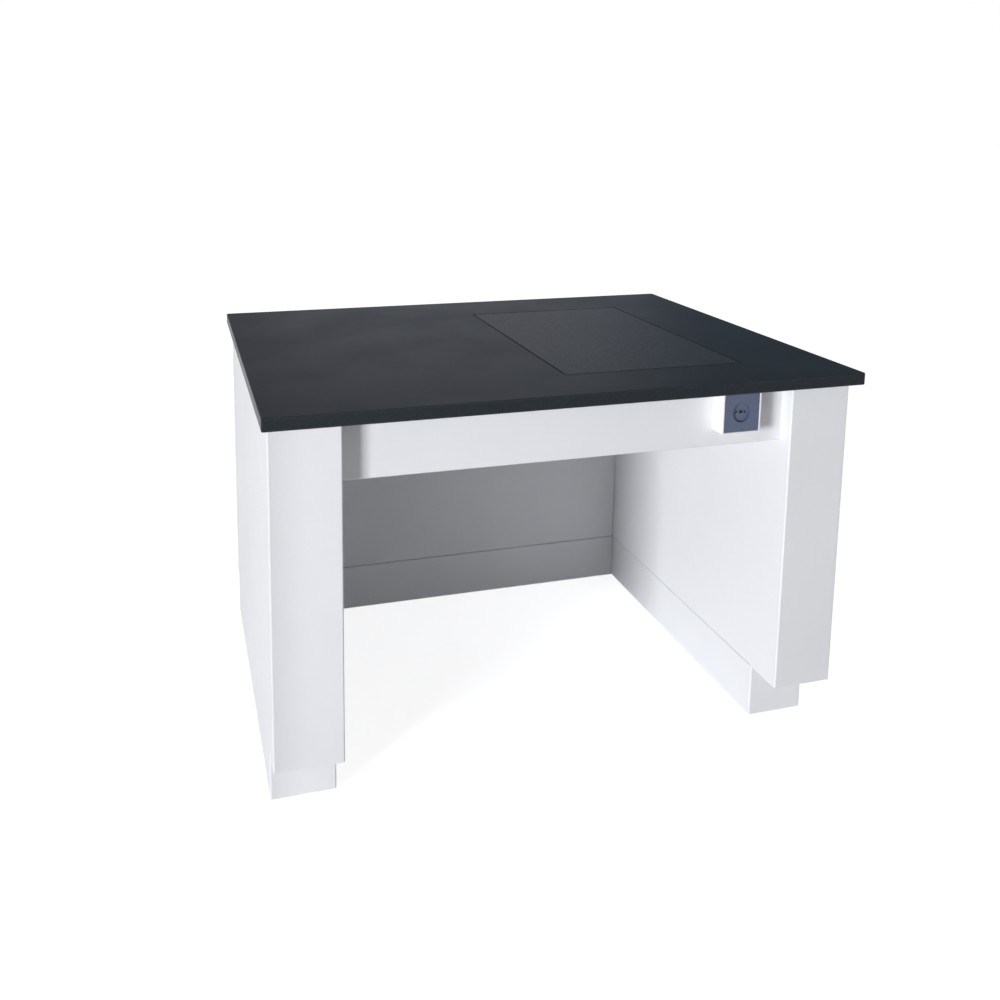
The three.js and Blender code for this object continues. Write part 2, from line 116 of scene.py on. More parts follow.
# Finishes of one colour: the colour's name, the scale and ends of the clouds in its tone, the same for its
# roughness, the scale, strength and height of its skin, and what stays constant.
PLAIN_FINISHES = {
    "powder_coat": ("paint", (3.0, 0.965, 1.0), (11.0, 0.48, 0.60), (420.0, 0.10, 0.3 * MM), {}),
    "blackened_steel": ("black_steel", (300.0, 0.8, 1.3), (400.0, 0.38, 0.55), (3000.0, 0.06, 0.1 * MM), {}),
    "black_rubber": (
        "rubber",
        (45.0, 0.85, 1.5),
        (80.0, 0.72, 0.9),
        (1100.0, 0.15, 0.2 * MM),
        {"Specular IOR Level": 0.3},
    ),
    "outlet_white": ("white_plastic", (25.0, 0.97, 1.02), (90.0, 0.32, 0.42), (800.0, 0.08, 0.15 * MM), {}),
    "outlet_blue": ("dark_plastic", (25.0, 0.97, 1.02), (90.0, 0.36, 0.46), (1100.0, 0.08, 0.15 * MM), {}),
    "turned_brass": (
        "brass",
        (120.0, 0.75, 1.05),
        (200.0, 0.25, 0.45),
        (2500.0, 0.05, 0.1 * MM),
        {"Metallic": 1.0},
    ),
}

FLOOR_REACH = 30.0
KEY_AIM = (0.0, -0.1, 0.5)
NET_X = -0.75
NET_OUTLINE = (  # Y and Z of its corners; the plinth's front stays in the full light
    (-0.455, 0.0),
    (0.65, 0.0),
    (0.65, 0.92),
    (-0.545, 0.92),
    (-0.545, 0.145),
    (-0.455, 0.145),
)
WALL_STOPS = (0.05, 0.13, 0.40, 0.50, 0.64, 0.80)  # how far to the right the walls change their tone
RIGHT_FILL_START = 0.7  # how far to the right, and to the rear, a ray goes before the fills begin
REAR_FILL_START = 0.2


def length(name, description, millimetres):
    """A length that a user can change, given in millimetres."""
    return FloatProperty(
        name=name, description=description, default=millimetres * MM, min=0.0, precision=4, unit="LENGTH"
    )


def bearing(name, description, degrees):
    """An angle that a user can change, given in degrees."""
    return FloatProperty(name=name, description=description, default=math.radians(degrees), subtype="ANGLE")


def number(name, description, value, unit="NONE"):
    """A strength, a share or another number that a user can change."""
    return FloatProperty(name=name, description=description, default=value, unit=unit)


def numbers(name, description, *values, **settings):
    """Several numbers that belong together and that a user can change."""
    return FloatVectorProperty(
        name=name, description=description, default=values, size=len(values), **settings
    )


def colour(name, description, *tint):
    """A colour that a user can change."""
    return numbers(name, description, *tint, min=0.0, max=1.0, subtype="COLOR")


class TableSizes(bpy.types.PropertyGroup):
    """Sizes of the details that the frame doesn't give."""

    worktop_corner: length("Worktop corner", "Radius of the worktop's four corners in plan", 4)
    worktop_arris: length("Worktop arris", "Radius of the worktop's upper and lower edges", 2.5)
    cutout_arris: length("Cut-out arris", "Radius of the edges of the cut-out", 0.8)
    cutout_corner: length("Cut-out corner", "Radius of the cut-out's corners in plan", 4.5)
    stone_joint: length("Stone joint", "Open joint between the stone and the worktop", 2.5)
    stone_arris: length("Stone arris", "Radius of the stone's edges", 1)
    stone_corner: length("Stone corner", "Radius of the stone's corners in plan", 2)
    seal_drop: length("Seal drop", "Depth of the dust seal below the top", 4)
    seal_height: length("Seal height", "Height of the dust seal in the joint", 9)
    seal_gap: length("Seal gap", "Gap between the dust seal and the stone", 0.3)
    sheet: length("Sheet", "Thickness of the folded sheet", 1.5)
    sheet_edge: length("Sheet edge", "Rounding of the cut edges of the sheet under its paint", 0.4)
    fold: length("Fold", "Outer radius of the folds", 3)
    rear_return: length("Rear return", "Width of the pedestal's folds at the back", 18)
    plinth_lip: length("Plinth lip", "Width of the plinth's upper fold", 15)
    plinth_fold: length("Plinth fold", "Outer radius of the plinth's upper fold", 2)
    plinth_gap: length("Plinth gap", "Shadow gap between a pedestal and its plinth", 1.2)
    tray_corner: length("Tray corner", "Radius of the corners of the back trays", 2)
    cover_screw: length("Cover screw", "Radius of the heads of the cover screws", 4.5)
    cover_screw_inset: length("Cover screw inset", "Distance of the cover screws from the edge", 9)
    isolator_inset: length("Isolator inset", "How far the isolators' end faces are drawn in", 1.5)
    isolator_bevel: length("Isolator bevel", "Height of the bevel at the isolators' ends", 0.8)
    seat_plate: length("Seat plate", "Thickness of the rail seats", 4)
    seat_bolt: length("Seat bolt", "Width across the flats of the bolts through a seat's upright leg", 10)
    seat_bolt_head: length("Seat bolt head", "Height of the heads of the seat bolts", 4)
    seat_bolt_offset: length("Seat bolt offset", "Distance of the seat bolts from the seat's middle", 11)
    seat_bolt_drop: length("Seat bolt drop", "Depth of the seat bolts below the seat's top", 6.5)
    rail_bolt: length("Rail bolt", "Width across the flats of the bolts under the rails", 13)
    rail_bolt_head: length("Rail bolt head", "Height of the heads of the rail bolts", 5.3)
    rail_bolt_inset: length("Rail bolt inset", "Distance of the rail bolts from the seat's free edge", 22)
    plug: length("Plug", "Thickness of the end plugs of the bearers", 2)
    plug_gap: length("Plug gap", "How far a plug's edge stays inside its tube's", 0.4)
    plug_corner: length("Plug corner", "Radius of the plugs' corners", 4)
    plug_arris: length("Plug arris", "Radius of the plugs' edges", 0.6)
    plate_gap: length("Plate gap", "Shadow gap between the outlet's plate and its box", 0.9)
    socket_edge: length("Socket edge", "Rounding of the outlet box's rim", 1.6)
    socket_corner: length("Socket corner", "Radius of the outlet box's corners", 4)
    socket_bevel: length("Socket bevel", "Bevel of the outlet box's inner rim", 0.3)
    socket_chamfer: length("Socket chamfer", "Bevel of the outlet box's rear edge", 0.6)
    supply_hole: length("Supply hole", "Radius of the hole in the outlet box's back", 14.3)
    plate_screw_rise: length("Plate screw rise", "Height of the head of the plate's screw", 2)
    thread_pitch: length("Thread pitch", "Pitch of the levelling thread", 1.75)
    thread_depth: length("Thread depth", "Depth of the levelling thread", 0.9)
    stud: length("Stud", "Radius of the threaded stud of a levelling foot", 6)
    collar: length("Collar", "Width across the flats of the collar of a levelling foot", 22)
    pad: length("Pad", "Height of the pad of a levelling foot, up to its rim", 8)
    pad_edge: length("Pad edge", "Rounding of the pad's rim", 2)
    pad_bevel: length("Pad bevel", "Bevel of the pad's lower edge", 1)
    sole: length("Sole", "Height of the rubber sole under a levelling foot", 3)
    nut: length("Nut", "Width across the flats of the nut of a levelling foot", 19)
    nut_bore: length("Nut bore", "Radius of the nut's bore", 6.2)


class TableColours(bpy.types.PropertyGroup):
    """Colours of the finishes."""

    paint: colour("Paint", "White powder coat", 0.835, 0.845, 0.86)
    board: colour("Board", "Charcoal resin board", 0.023, 0.028, 0.033)
    stone: colour("Stone", "Honed dark stone", 0.037, 0.042, 0.048)
    zinc: colour("Zinc", "Zinc plating", 0.62, 0.63, 0.64)
    black_steel: colour("Black steel", "Blackened screw", 0.022, 0.023, 0.025)
    rubber: colour("Rubber", "Black rubber", 0.020, 0.020, 0.021)
    white_plastic: colour("White plastic", "Outlet box", 0.85, 0.86, 0.87)
    dark_plastic: colour("Dark plastic", "Outlet plate", 0.088, 0.114, 0.187)
    brass: colour("Brass", "Contact sleeves", 0.62, 0.45, 0.18)


class StudioSettings(bpy.types.PropertyGroup):
    """Camera and light of the studio."""

    eye: numbers("Eye", "Place of the camera", -0.74363, -2.05594, 1.30963, subtype="XYZ", unit="LENGTH")
    azimuth: bearing("Azimuth", "Turn of the view from +Y to +X", 15.596)
    pitch: bearing("Pitch", "Tilt of the view below level", 8.59)
    roll: bearing("Roll", "Rise of the picture's right side", 0.359)
    lens: number("Lens", "Focal length in millimetres", 35.259, "CAMERA")
    shift: numbers("Shift", "Shift of the picture as a share of its width", 0.0634, -0.2391)
    key_power: number("Key", "Power of the key light in watts", 1052.0, "POWER")
    key_tint: colour("Key tint", "Colour of the key light", 0.955, 0.966, 1.0)
    key_azimuth: bearing("Key azimuth", "Turn of the key light to the left", 55.3)
    key_elevation: bearing("Key elevation", "Height angle of the key light", 7)
    key_distance: number("Key distance", "Distance of the key light", 10.0, "LENGTH")
    key_size: number("Key size", "Side of the key light", 2.1, "LENGTH")
    net: number("Net", "Share of the key that the net beside the table lets through", 0.65)
    soft_tint: colour("Soft tint", "Colour of the soft light", 1.0, 0.956, 0.95)
    ambient: numbers("Ambient", "Strength of the light from the left and the right", 0.015, 0.213)
    right_fill: number("Right fill", "Strength of the soft light from the far right", 1.13)
    rear_fill: number("Rear fill", "Strength of the soft light from behind", 0.85)
    wall_left: colour("Left wall", "What a gloss mirrors on the left", 0.31, 0.32, 0.37)
    wall_bright: colour("Bright wall", "What a gloss mirrors behind the table", 0.50, 0.53, 0.60)
    wall_right: colour("Right wall", "What a gloss mirrors on the right", 0.12, 0.18, 0.235)
    wall_far: colour("Far wall", "What a gloss mirrors on the far right", 0.20, 0.21, 0.225)
    floor: colour("Floor", "Floor as other things see it", 0.85, 0.85, 0.86)
    floor_lift: number("Floor lift", "Brightness that the camera adds to the floor", 0.78)


# Surfaces

Surface = namedtuple("Surface", "points corners sizes edge")


def grid(points, edge=None, rows_close=False):
    """Surface over rows of points, each row a closed loop.

    Each quad joins two neighbours in a row to the same two in the next row. The last row joins the first
    where rows_close is true; otherwise one flat face each closes the first and the last row. edge marks
    the rows that lie on a rounded edge.
    """
    rows, columns = points.shape[:2]
    i, j = np.meshgrid(np.arange(rows if rows_close else rows - 1), np.arange(columns), indexing="ij")
    below, beside = (i + 1) % rows, (j + 1) % columns
    quads = np.stack(
        [i * columns + j, i * columns + beside, below * columns + beside, below * columns + j], axis=-1
    )
    corners = [quads.ravel()]
    sizes = [np.full(quads.size // 4, 4)]
    if not rows_close:
        ring = np.arange(columns)
        corners += [ring[::-1], ring + (rows - 1) * columns]
        sizes.append(np.array([columns, columns]))
    marks = np.zeros(rows) if edge is None else np.asarray(edge, float)
    return Surface(
        points.reshape(-1, 3), np.concatenate(corners), np.concatenate(sizes), np.repeat(marks, columns)
    )


def moved(surface, *origin):
    """The surface with every point shifted by the origin."""
    return surface._replace(points=surface.points + np.asarray(origin, float))


def laid(surface, axes, signs=(1, 1, 1)):
    """The surface with its coordinates written to other axes, so that Z can lie along X or Y."""
    return surface._replace(points=surface.points[:, list(axes)] * np.asarray(signs))


def enclosed_volume(mesh):
    """A sixth of the sum of the triple products of each triangle's corners: negative if it is inside out."""
    mesh.calc_loop_triangles()
    triangles = np.empty(3 * len(mesh.loop_triangles), np.int32)
    mesh.loop_triangles.foreach_get("vertices", triangles)
    points = np.empty(3 * len(mesh.vertices), np.float32)
    mesh.vertices.foreach_get("co", points)
    a, b, c = points.reshape(-1, 3).astype(float)[triangles.reshape(-1, 3)].transpose(1, 0, 2)
    return np.einsum("ij,ij->i", a, np.cross(b, c)).sum() / 6


def put(name, body, slot, surfaces, *replaced):
    """One piece of closed surfaces, with the finish of a slot, which rides on a body if one is given."""
    starts = np.cumsum([0] + [len(s.points) for s in surfaces[:-1]])
    points = np.concatenate([s.points for s in surfaces])
    corners = np.concatenate([s.corners + start for s, start in zip(surfaces, starts)])
    sizes = np.concatenate([s.sizes for s in surfaces])
    mesh = bpy.data.meshes.new(name)
    mesh.vertices.add(len(points))
    mesh.vertices.foreach_set("co", points.astype(np.float32).ravel())
    mesh.loops.add(len(corners))
    mesh.loops.foreach_set("vertex_index", corners.astype(np.int32))
    mesh.polygons.add(len(sizes))
    mesh.polygons.foreach_set("loop_start", (np.cumsum(sizes) - sizes).astype(np.int32))
    mesh.update(calc_edges=True)
    if mesh.validate():
        raise RuntimeError(f"{name}: the surface has faulty faces")
    if enclosed_volume(mesh) < 0:
        mesh.flip_normals()
    mark = mesh.attributes.new("edge", "FLOAT", "POINT")
    mark.data.foreach_set("value", np.concatenate([s.edge for s in surfaces]).astype(np.float32))
    mesh.polygons.foreach_set("use_smooth", np.ones(len(sizes), bool))
    mesh.set_sharp_from_angle(angle=CRISP)
    mesh.materials.append(finish_of(slot))
    piece = bpy.data.objects.new(name, mesh)
    bpy.context.scene.collection.objects.link(piece)
    if body:
        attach(piece, body)
    if replaced:
        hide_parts(*replaced)
    return piece


def finish_of(slot):
    """The finish that stands for a slot of the record."""
    return bpy.data.materials[FINISH_OF_SLOT[slot]]


def node_box(node):
    """Lowest and highest corner of a frame node as arrays."""
    low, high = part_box(node)
    return np.array(low), np.array(high)


def spans(node, axes=(0, 1, 2)):
    """Half sizes and centre of a frame node's box along the first two axes, and its ends along the third."""
    low, high = (corner[list(axes)] for corner in node_box(node))
    return (high - low)[:2] / 2, (high + low)[:2] / 2, low[2], high[2]


def corner_turns(steps):
    """Signs, directions and slips of the points round a rounded rectangle, anticlockwise.

    Each corner turns through a quarter circle in equal steps. One more point before and after it slips
    along the straight side by HOLD.
    """
    turn = np.pad(np.linspace(0, np.pi / 2, steps + 1), 1, mode="edge")
    slip = np.zeros(len(turn))
    slip[0], slip[-1] = -HOLD, HOLD
    angles = (np.arange(4)[:, None] * np.pi / 2 + turn).ravel()
    signs = np.repeat([[1, 1], [-1, 1], [-1, -1], [1, -1]], len(turn), axis=0)
    directions = np.stack([np.cos(angles), np.sin(angles)], axis=-1)
    tangents = np.stack([-np.sin(angles), np.cos(angles)], axis=-1)
    return signs, directions, tangents * np.tile(slip, 4)[:, None]


def rectangle_loops(half, radius, inset, steps=6):
    """Outlines of a rounded rectangle, each moved inwards by an inset.

    The radius that is left is the radius less the inset. Corner centres lie at half, less the inset and
    that radius; each point is its corner's centre plus that radius along its direction.
    """
    signs, directions, slips = corner_turns(steps)
    inset = np.asarray(inset, float)[:, None, None]
    left = np.maximum(radius - inset, TINY)
    return signs * (np.asarray(half) - inset - left) + left * directions + slips


def stacked(loops, heights, centre):
    """Rows of points: plane loops about a centre, each at its own height."""
    flat = loops + np.asarray(centre)
    tall = np.broadcast_to(np.asarray(heights, float)[:, None, None], (*flat.shape[:2], 1))
    return np.concatenate([flat, tall], axis=-1)


def framed(half, centre, corner, inset, height):
    """Rows of points: rounded rectangles about a centre, each with its own inset and height."""
    return stacked(rectangle_loops(half, corner, inset), height, centre)


def quarter(radius, steps=4):
    """A quarter round from a face to a wall: insets from the wall and drops below the face."""
    angle = np.linspace(0, np.pi / 2, steps + 1)
    return radius * (1 - np.sin(angle)), radius * (1 - np.cos(angle))


def edge_section(top, bottom, arris):
    """Insets, heights and edge marks down a board's edge.

    It leaves the top face, turns on a quarter round into the wall, runs down it and turns on another
    quarter round into the bottom face. The lower half mirrors the upper one.
    """
    turn_in, turn_drop = quarter(arris)
    inset = np.concatenate([[arris + HOLD], turn_in, [0]])
    drop = np.concatenate([[0], turn_drop, [arris + HOLD]])
    marks = np.concatenate([[0], np.ones(len(turn_in)), [0]])
    heights = np.concatenate([top - drop, (bottom + drop)[::-1]])
    return np.concatenate([inset, inset[::-1]]), heights, np.concatenate([marks, marks[::-1]])


def slab(half, centre, bottom, top, corner, arris):
    """A board: its outline is a rounded rectangle, carried down the section of its edge."""
    inset, height, marks = edge_section(top, bottom, arris)
    return grid(framed(half, centre, corner, inset, height), marks)


def pierced_slab(outer, hole, bottom, top):
    """A board with a cut-out: the outer edge's section, then the cut-out's section back up, as one ring.

    outer and hole each give half sizes, centre, corner radius and arris. The cut-out's insets point the
    other way, into the board.
    """
    rows, marks = [], []
    for (half, centre, corner, arris), way in ((outer, 1), (hole, -1)):
        inset, height, mark = edge_section(top, bottom, arris)
        rows.append(framed(half, centre, corner, way * inset, height)[::way])
        marks.append(mark[::way])
    return grid(np.concatenate(rows), np.concatenate(marks), rows_close=True)


def folded_line(corners, radius, steps=6):
    """Points along a folded line, and the unit vectors to the left of it.

    The line is straight between its corners, and turns at each corner on an arc of the radius that
    touches both straights.
    """
    corners = np.asarray(corners, float)
    runs = np.diff(corners, axis=0)
    runs /= np.linalg.norm(runs, axis=1, keepdims=True)
    left = np.stack([-runs[:, 1], runs[:, 0]], axis=-1)
    points, normals = [corners[:1]], [left[:1]]
    for corner, before, after, side in zip(corners[1:-1], runs[:-1], runs[1:], left[:-1]):
        turn = math.atan2(before[0] * after[1] - before[1] * after[0], before @ after)
        bend = math.copysign(radius, turn)
        centre = corner - before * radius * math.tan(abs(turn) / 2) + side * bend
        angle = turn * np.linspace(0, 1, steps + 1)
        cosine, sine = np.cos(angle)[:, None], np.sin(angle)[:, None]
        normal = side * cosine + np.array([-side[1], side[0]]) * sine
        arc = centre - normal * bend
        points += [arc[:1] - before * HOLD, arc, arc[-1:] + after * HOLD]
        normals += [normal[:1], normal, normal[-1:]]
    points.append(corners[-1:])
    normals.append(left[-1:])
    return np.concatenate(points), np.concatenate(normals)


def folded_wall(corners, bottom, top, thickness, fold, edge):
    """A standing folded sheet: its thin rounded section is carried along the folded line of its outer face.

    A point of the section lies some way to the left of the line, within the thickness, at some height.
    """
    line, normals = folded_line(corners, fold)
    half = np.array([thickness, top - bottom]) / 2
    section = rectangle_loops(half, edge, [0.0], steps=3)[0] + [thickness / 2, (top + bottom) / 2]
    plan = line[:, None, :] + normals[:, None, :] * section[None, :, :1]
    heights = np.broadcast_to(section[None, :, 1:], (*plan.shape[:2], 1))
    return grid(np.concatenate([plan, heights], axis=-1))


def ring_wall(half, centre, corner, inset, height):
    """A closed wall: a closed section of insets and heights, carried round a rounded rectangle."""
    return grid(framed(half, centre, corner, inset, height), rows_close=True)


def tray(half, centre, face, depth, thickness, fold, corner, edge):
    """A folded tray: a flat face, a quarter bend into its flanges, round their edge and back inside.

    It is a stack of rounded rectangles. Along the outer bend an inset and a height follow a quarter round
    of radius fold, along the inner bend one that is smaller by the thickness.
    """
    outer_in, outer_drop = quarter(fold, 6)
    inner_in, inner_drop = quarter(fold - thickness, 6)
    flange_in = [0, 0, edge, thickness - edge, thickness, thickness]
    flange_drop = [fold + HOLD, depth - edge, depth, depth, depth - edge, fold + HOLD]
    inset = np.concatenate(
        [[fold + HOLD], outer_in, flange_in, (thickness + inner_in)[::-1], [fold + HOLD]]
    )
    height = np.concatenate(
        [[0], outer_drop, flange_drop, (thickness + inner_drop)[::-1], [thickness]]
    )
    return grid(framed(half, centre, corner, inset, face + height))


def equal_turns(sides):
    """Angles of equal turns round a circle."""
    return np.linspace(0, 2 * np.pi, sides, endpoint=False)


def wound(radius, height, rows_close=False):
    """A surface about Z: in each row, the points stand at their radius and height in equal turns."""
    angle = equal_turns(radius.shape[1])
    return grid(np.stack([radius * np.cos(angle), radius * np.sin(angle), height], axis=-1), None, rows_close)


def turned(radius, height, sides=40):
    """A round piece about Z: each radius and height of its profile goes once round."""
    profile = np.stack([radius, height]).astype(float)
    return wound(*np.broadcast_to(profile[:, :, None], (*profile.shape, sides)))


def hexagonal(flats, bottom, top, bore=None, sides=48):
    """A hexagonal head or nut about Z with its corners turned off.

    At each angle the wall lies at half the flats over the cosine of the angle to the nearest flat. The
    upper and lower rim fall away on a slope where the wall stands out past a circle inside the flats.
    """
    nearest = (equal_turns(sides) + np.pi / 6) % (np.pi / 3) - np.pi / 6
    wall = flats / 2 / np.cos(nearest)
    circle = np.full(sides, CORNER_CIRCLE * flats / 2)
    fall = (wall - circle) * CORNER_SLOPE
    radii = [circle, wall, wall, circle]
    heights = [np.full(sides, bottom), bottom + fall, top - fall, np.full(sides, top)]
    if bore is not None:
        radii = [np.full(sides, bore), *radii, np.full(sides, bore)]
        heights = [heights[0], *heights, heights[-1]]
    return wound(np.stack(radii), np.stack(heights), rows_close=bore is not None)


def threaded(radius, depth, pitch, bottom, top, sides=24, per_turn=6):
    """A threaded rod about Z.

    The radius falls and rises as a triangle wave of height over pitch less the turn. It falls away over
    half a pitch at both ends.
    """
    rows = max(2, round((top - bottom) / pitch * per_turn))
    height = np.repeat(np.linspace(bottom, top, rows + 1)[:, None], sides, axis=1)
    phase = (height / pitch - equal_turns(sides) / (2 * np.pi)) % 1
    wave = np.abs(2 * phase - 1)
    ends = np.minimum(height - bottom, top - height) / pitch
    return wound(radius - depth * np.maximum(1 - wave, 1 - np.clip(2 * ends, 0, 1)), height)


def screw_head(radius, rise, sides=48, rings=14):
    """A domed screw head about Z with a cross recess, standing on the plane.

    Its height is the rise times the root of about one less the squared share of the radius. Where a point
    lies near either axis and not far out, the depth of the recess is taken away, over a short slope.
    """
    angle = equal_turns(sides)
    share = np.linspace(1, 0.02, rings)[:, None]
    reach = np.repeat(radius * share, sides, axis=1)
    dome = rise * np.sqrt(np.clip(1.02 - share**2, 0, 1))
    off_axis = reach * np.minimum(np.abs(np.cos(angle)), np.abs(np.sin(angle)))
    near = np.clip((RECESS_HALF * radius - off_axis) / (RECESS_SLOPE * radius), 0, 1)
    inside = np.clip((RECESS_REACH - share) / RECESS_RUNOUT, 0, 1)
    height = dome - RECESS_DEPTH * rise * near * inside
    return wound(np.concatenate([reach[:1], reach]), np.concatenate([np.zeros((1, sides)), height]))


# Finishes


def add_node(tree, kind, inputs=None, **settings):
    """A node with its settings made and its inputs set, or linked where a socket is given."""
    made = tree.nodes.new(kind)
    for name, value in settings.items():
        setattr(made, name, value)
    for name, value in (inputs or {}).items():
        if isinstance(value, bpy.types.NodeSocket):
            tree.links.new(value, made.inputs[name])
        else:
            made.inputs[name].default_value = value
    return made


def worked_out(tree, operation, first, second):
    """What a Math node makes of two numbers."""
    return add_node(tree, "ShaderNodeMath", {0: first, 1: second}, operation=operation).outputs[0]


def spread(tree, value, ends):
    """A value carried over from one range to another, each from 0 to 1 unless its ends are given."""
    return add_node(tree, "ShaderNodeMapRange", {"Value": value, **ends}).outputs["Result"]


def blended(tree, factor, first, second):
    """Two colours mixed by a factor."""
    return add_node(tree, "ShaderNodeMix", {0: factor, 6: first, 7: second}, data_type="RGBA").outputs[2]


def shaded(tree, tint, factor):
    """A colour times a value."""
    return add_node(tree, "ShaderNodeVectorMath", {0: tint, 3: factor}, operation="SCALE").outputs[0]


def rgba(tint, scale=1.0):
    """A colour property as four numbers, its first three scaled."""
    return (*(min(1.0, c * scale) for c in tint), 1.0)


def start_group(name, inputs, outputs):
    """A node group with its named sockets. A number among the inputs is a Float socket's default."""
    tree = bpy.data.node_groups.new(name, "ShaderNodeTree")
    for socket, given in inputs.items():
        kind = given if isinstance(given, str) else "Float"
        made = tree.interface.new_socket(name=socket, in_out="INPUT", socket_type=f"NodeSocket{kind}")
        if kind == "Float":
            made.default_value = given
    for socket, kind in outputs.items():
        tree.interface.new_socket(name=socket, in_out="OUTPUT", socket_type=f"NodeSocket{kind}")
    return tree, tree.nodes.new("NodeGroupInput").outputs, tree.nodes.new("NodeGroupOutput").inputs


def make_mottle_group():
    """Soft cloudy change: a value between two ends, from noise."""
    inputs = {"Vector": "Vector", "Scale": 5.0, "Low": 0.0, "High": 1.0}
    tree, given, out = start_group("mottle", inputs, {"Value": "Float"})
    place = {"Vector": given["Vector"], "Scale": given["Scale"]}
    noise = add_node(tree, "ShaderNodeTexNoise", {**place, "Detail": 4.0, "Roughness": 0.55})
    ends = {"From Min": 0.32, "From Max": 0.68, "To Min": given["Low"], "To Max": given["High"]}
    tree.links.new(spread(tree, noise.outputs["Fac"], ends), out["Value"])


def make_peel_group():
    """Low rounded bumps of a sprayed or moulded skin, as a height."""
    tree, given, out = start_group("peel", {"Vector": "Vector", "Scale": 400.0}, {"Height": "Float"})
    place = {"Vector": given["Vector"], "Scale": given["Scale"]}
    noise = add_node(tree, "ShaderNodeTexNoise", {**place, "Detail": 1.0})
    tree.links.new(noise.outputs["Fac"], out["Height"])


def make_fleck_group():
    """Scattered grains: some of the cells of a cell pattern take the fleck's colour."""
    inputs = {"Vector": "Vector", "Scale": 500.0, "Share": 0.2, "Ground": "Color", "Fleck": "Color"}
    tree, given, out = start_group("flecks", inputs, {"Color": "Color", "Mask": "Float"})
    place = {"Vector": given["Vector"], "Scale": given["Scale"]}
    cells = add_node(tree, "ShaderNodeTexVoronoi", place, feature="F1").outputs
    parts = add_node(tree, "ShaderNodeSeparateColor", {0: cells["Color"]}).outputs
    chosen = worked_out(tree, "LESS_THAN", parts[0], given["Share"])
    fade = {"From Min": 0.25, "From Max": 0.6, "To Min": 1.0, "To Max": 0.0}
    mask = worked_out(tree, "MULTIPLY", chosen, spread(tree, cells["Distance"], fade))
    tree.links.new(blended(tree, mask, given["Ground"], given["Fleck"]), out["Color"])
    tree.links.new(mask, out["Mask"])


class Finish:
    """A material under way: its tree, its shader and its Object coordinates."""

    def __init__(self, name, constants):
        material = bpy.data.materials.new(name)
        material.use_nodes = True
        self.tree = material.node_tree
        self.shader = self.tree.nodes["Principled BSDF"]
        self.place = add_node(self.tree, "ShaderNodeTexCoord").outputs["Object"]
        for socket, value in constants.items():
            self.shader.inputs[socket].default_value = value

    def group(self, name, **inputs):
        """The outputs of a shared node group on this finish's coordinates, with its own values."""
        shared = bpy.data.node_groups[name]
        return add_node(
            self.tree, "ShaderNodeGroup", {"Vector": self.place, **inputs}, node_tree=shared
        ).outputs

    def clouds(self, scale, low, high):
        """A value that drifts between two ends."""
        return self.group("mottle", Scale=scale, Low=low, High=high)["Value"]

    def feed(self, socket, source):
        """Links a source to a socket of the shader."""
        self.tree.links.new(source, self.shader.inputs[socket])

    def skin(self, scale, strength, height):
        """Raises the surface in the low bumps of a skin."""
        bumps = self.group("peel", Scale=scale)["Height"]
        inputs = {"Height": bumps, "Strength": strength, "Distance": height}
        self.feed("Normal", add_node(self.tree, "ShaderNodeBump", inputs).outputs["Normal"])


def plain_finish(name, tint, tone, gloss, skin, constants):
    """A finish of one colour: clouds in its tone and in its roughness, over a fine skin."""
    made = Finish(name, constants)
    made.feed("Base Color", shaded(made.tree, tuple(tint), made.clouds(*tone)))
    made.feed("Roughness", made.clouds(*gloss))
    made.skin(*skin)


def resin_board(tint):
    """Satin charcoal board: fine pale grains, soft smears in the gloss, and a painted highlight that makes
    the arrises paler.
    """
    made = Finish("resin_board", {"Specular IOR Level": 0.06})
    grains = made.group("flecks", Scale=620.0, Share=0.22, Ground=rgba(tint), Fleck=rgba(tint, 1.7))
    ground = shaded(made.tree, grains["Color"], made.clouds(4.0, 0.95, 1.05))
    edge = add_node(made.tree, "ShaderNodeAttribute", attribute_name="edge").outputs["Fac"]
    # Painted highlight: the colour turns paler on the rounded arrises, as if light caught the edges.
    arris_highlight = worked_out(made.tree, "MULTIPLY", edge, 0.3)
    made.feed("Base Color", blended(made.tree, arris_highlight, ground, rgba(tint, 2.4)))
    made.feed("Roughness", made.clouds(6.0, 0.30, 0.36))
    made.skin(900.0, 0.08, 0.2 * MM)


def honed_stone(tint):
    """Honed dark stone: pale and dark crystals of two sizes, the pale ones a little glossier."""
    made = Finish("honed_stone", {"Specular IOR Level": 0.105})
    dark = made.group("flecks", Scale=170.0, Share=0.45, Ground=rgba(tint), Fleck=rgba(tint, 0.6))
    pale = made.group("flecks", Scale=420.0, Share=0.18, Ground=dark["Color"], Fleck=rgba(tint, 2.2))
    made.feed("Base Color", shaded(made.tree, pale["Color"], made.clouds(7.0, 0.9, 1.1)))
    made.feed("Roughness", spread(made.tree, pale["Mask"], {"To Min": 0.36, "To Max": 0.28}))
    made.skin(700.0, 0.05, 0.2 * MM)


def zinc_plate(tint):
    """Bright zinc: small crystals that differ in tone and gloss."""
    made = Finish("zinc_plate", {"Metallic": 1.0})
    spangle = made.group("flecks", Scale=260.0, Share=0.5, Ground=rgba(tint), Fleck=rgba(tint, 0.86))
    made.feed("Base Color", shaded(made.tree, spangle["Color"], made.clouds(30.0, 0.9, 1.05)))
    made.feed("Roughness", made.clouds(60.0, 0.30, 0.48))
    made.skin(1500.0, 0.06, 0.1 * MM)


# Operators


